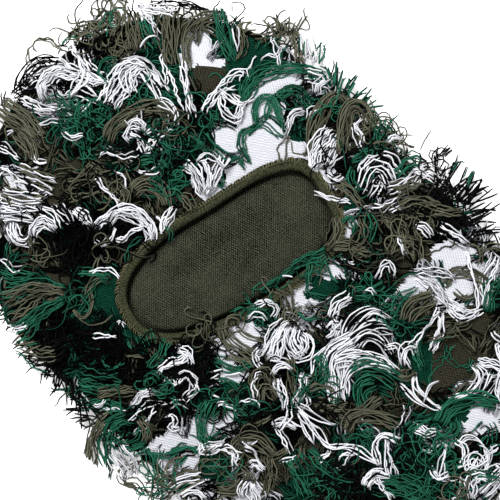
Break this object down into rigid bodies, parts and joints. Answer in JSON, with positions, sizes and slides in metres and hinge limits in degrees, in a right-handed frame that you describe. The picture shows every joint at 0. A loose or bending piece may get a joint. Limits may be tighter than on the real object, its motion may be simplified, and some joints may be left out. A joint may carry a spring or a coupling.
{
  "type": "distressed camouflage balaclava",
  "caption": "Knitted full-head hood with one wide bound eye opening, lined, its camouflage knit covered in cut, shaggy yarn fringe; shown laid flat, face up.",
  "frame": {"origin": "bottom centre of the hood's bounding box, on the surface that it lies on", "axes": "+Y to the crown, -Y to the neck hem, +Z out of the face (up), +X across the hood to its right in plan view"},
  "size_m": [0.236, 0.36, 0.0297],
  "materials": {
    "jacquard_knit": "matte camouflage jacquard knit",
    "lining_jersey": "matte olive jersey",
    "binding_rib": "matte dark olive rib knit",
    "thread": "dark olive overlock thread",
    "yarn_white": "soft white yarn",
    "yarn_green": "dark green yarn",
    "yarn_olive": "olive yarn",
    "yarn_black": "black yarn"
  },
  "bodies": {
    "root": {"outer_front": "jacquard_knit", "outer_back": "jacquard_knit", "lining_front": "lining_jersey", "lining_back": "lining_jersey", "eye_binding": "binding_rib", "eye_overlock_stitches": "thread", "side_seam": "thread", "neck_hem": "binding_rib", "neck_hem_stitches": "thread", "fringe_front_white": "yarn_white", "fringe_front_green": "yarn_green", "fringe_front_olive": "yarn_olive", "fringe_front_black": "yarn_black", "fringe_edge_white": "yarn_white", "fringe_edge_green": "yarn_green", "fringe_edge_olive": "yarn_olive", "fringe_edge_black": "yarn_black", "fringe_back_white": "yarn_white", "fringe_back_green": "yarn_green", "fringe_back_olive": "yarn_olive", "fringe_back_black": "yarn_black"}
  },
  "joints": []
}
